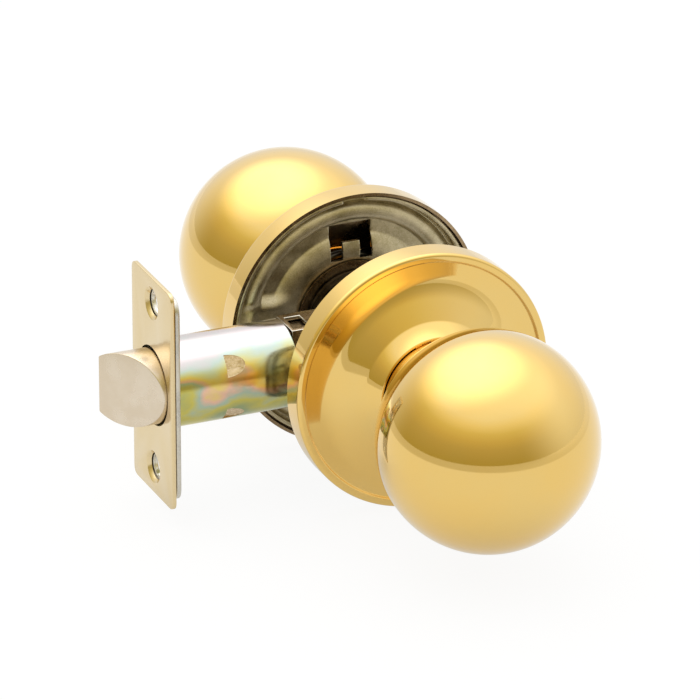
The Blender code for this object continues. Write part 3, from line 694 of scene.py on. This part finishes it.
def make_frame():
    """Sheet-metal tail of the latch, with bright cut edges round its holes."""
    low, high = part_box("latch_frame")
    wall, reach = 1.0 * MM, 20 * MM
    tail = box("latch_tail", (low.x, high.x), (low.y, high.y), (low.z, high.z), LOOKS["bronze"])
    inside_y, inside_z = (low.y + wall, high.y - wall), (low.z + wall, high.z - wall)
    hollow = box("hollow", (low.x - MM, high.x + MM), inside_y, inside_z, LOOKS["bronze"])
    cam_hole = slab("cam_hole", circle(7.35 * MM, 64), -reach, reach, "outer", CUT_EDGE)
    round_post = [(a - POST_X, b) for a, b in circle(3.8 * MM, 32)]
    post_hole = slab("post_hole", round_post, -reach, reach, "outer", CUT_EDGE)
    finger_slot = box("finger_slot", (-9 * MM, 9 * MM), (-2.2 * MM, 2.2 * MM), (0, reach), CUT_EDGE)
    window_x = (low.x + 1.3 * MM, low.x + 5.3 * MM)
    window = box("tail_window", window_x, (-3.1 * MM, 3.1 * MM), (0, reach), CUT_EDGE)
    cut(tail, hollow, cam_hole, post_hole, finger_slot, window)
    soften(tail, 0.15 * MM, 2, 35, CUT_EDGE)
    stand_for(tail, "fixed_set", "bronze", "latch_frame")


def make_bolt():
    look = LOOKS["satin_nickel"]
    bolt = slab("spring_bolt", bolt_outline(BOLT_RADIUS, BOLT_FLAT), BOLT_TIP, BOLT_REAR, "latch", look)
    nose, bevel_end, past, far = 0.35 * MM, FACE_FRONT - 0.7 * MM, 5 * MM, 20 * MM
    slope = [(BOLT_TIP - past, BOLT_FLAT - nose), (BOLT_TIP, BOLT_FLAT - nose), (bevel_end, -BOLT_RADIUS),
             (bevel_end, -BOLT_RADIUS - past), (BOLT_TIP - past, -BOLT_RADIUS - past)]
    wedge = slab("wedge", slope, -far, far, "upright", look)
    bore_r, bore_start, bore_end = 5.6 * MM, -61.6 * MM, -50 * MM
    profile = [(0, bore_start), (bore_r, bore_start), (bore_r, bore_end), (0, bore_end)]
    cut(bolt, wedge, turned("bore", profile, "latch", look, 48))
    soften(bolt, 0.25 * MM, 3, 28)
    stand_for(bolt, "bolt", "satin_nickel", "latch_bolt")


# ---------------------------------------------------------------- the rest of the model

def dress_cad_nodes():
    """CAD pieces whose shape is right keep it, with a full finish."""
    slots = {row["node"]: row["material_slot"] for row in frame["record"]["subparts"]}
    for name, node in frame["nodes"].items():
        node.data.materials.clear()
        node.data.materials.append(LOOKS[slots[name]])
        for face in node.data.polygons:
            face.material_index = 0


# ---------------------------------------------------------------- camera and studio

VIEW_AZIMUTH = math.radians(-23.4)
VIEW_ELEVATION = math.radians(24.0)
VIEW_DISTANCE = 1.732
VIEW_TARGET = Vector((-0.0079, 0.0028, -0.0012))
LENS = 361.7


def make_camera():
    camera = bpy.data.cameras.new("camera")
    camera.lens = LENS
    camera.sensor_width = 36
    camera.clip_start = 0.05
    obj = bpy.data.objects.new("camera", camera)
    bpy.context.scene.collection.objects.link(obj)
    sin_a, cos_a = math.sin(VIEW_AZIMUTH), math.cos(VIEW_AZIMUTH)
    sin_e, cos_e = math.sin(VIEW_ELEVATION), math.cos(VIEW_ELEVATION)
    back = Vector((sin_a * cos_e, -cos_a * cos_e, sin_e))
    obj.location = VIEW_TARGET + VIEW_DISTANCE * back
    obj.rotation_euler = back.to_track_quat("Z", "Y").to_euler()
    bpy.context.scene.camera = obj


def glow_at(tree, ahead, toward, outer_deg):
    """1 in a direction, falling softly to 0 at outer_deg from it."""
    inputs = {0: ahead, 1: Vector(toward).normalized()}
    along = add(tree, "VectorMath", inputs, operation="DOT_PRODUCT").outputs["Value"]
    return spread(tree, along, math.cos(math.radians(outer_deg)), 1.0)


def make_studio():
    """A pale floor and a soft tent: a bright top, a pale back and a dimmer, warmer front.

    Camera rays see the tent as white paper.
    """
    bm = bmesh.new()
    floor_height = CAD_BOX[0][2] - 0.3 * MM
    edge = [(a, b, floor_height) for a, b in circle(FLOOR_RADIUS, 96)]
    skin(bm, [[(0, 0, floor_height)], edge], closed=False)
    floor = finish_mesh("studio_floor", bm, [floor_paint()])
    world = bpy.data.worlds.new("studio")
    bpy.context.scene.world = world
    world.use_nodes = True
    tree = world.node_tree
    ahead = add(tree, "TexCoord").outputs["Generated"]
    height = add(tree, "SeparateXYZ", {0: ahead}).outputs[2]
    level = add(tree, "MapRange", {"Value": height, "From Min": -0.1, "From Max": 1.0}).outputs[0]
    front = ramp(tree, level, [
        (0.03, (0.235, 0.200, 0.065)), (0.20, (0.26, 0.225, 0.10)), (0.33, (0.29, 0.25, 0.12)),
        (0.45, (0.35, 0.30, 0.14)), (0.56, (0.41, 0.37, 0.19)), (0.66, (0.51, 0.48, 0.35)),
        (0.75, (0.56, 0.56, 0.54)), (1.0, (0.68, 0.68, 0.68)),
    ])
    back = ramp(tree, level, [
        (0.1, (0.45, 0.45, 0.44)), (0.50, (0.56, 0.56, 0.56)), (0.71, (0.68, 0.68, 0.68)),
        (1.0, (0.74, 0.74, 0.74)),
    ])
    sides = mix(tree, toward_back(tree, ahead), front, back)
    high_light = glow_at(tree, ahead, HIGH_LIGHT, HIGH_LIGHT_DEG)
    power = math_node(tree, "MULTIPLY_ADD", high_light, HIGH_LIGHT_POWER)
    power.node.inputs[2].default_value = TENT_POWER
    tent = add(tree, "Background", {0: sides, 1: power}).outputs[0]
    paper = add(tree, "Background", {0: (1, 1, 1, 1), 1: PAPER_GLOW}).outputs[0]
    seen = add(tree, "LightPath").outputs["Is Camera Ray"]
    both = add(tree, "MixShader", {0: seen, 1: tent, 2: paper}).outputs[0]
    tree.links.new(both, tree.nodes["World Output"].inputs[0])


def main():
    make_camera()
    dress_cad_nodes()
    for side in ("outer", "inner"):
        make_knob(side)
        make_rose(side)
        make_plate(side)
        make_shank(side)
        make_torsion_spring(side)
    make_faceplate()
    make_backplate()
    make_tube()
    make_frame()
    make_bolt()
    make_studio()
    bpy.context.scene.view_settings.view_transform = "Standard"


main()
bpy.context.view_layer.update()
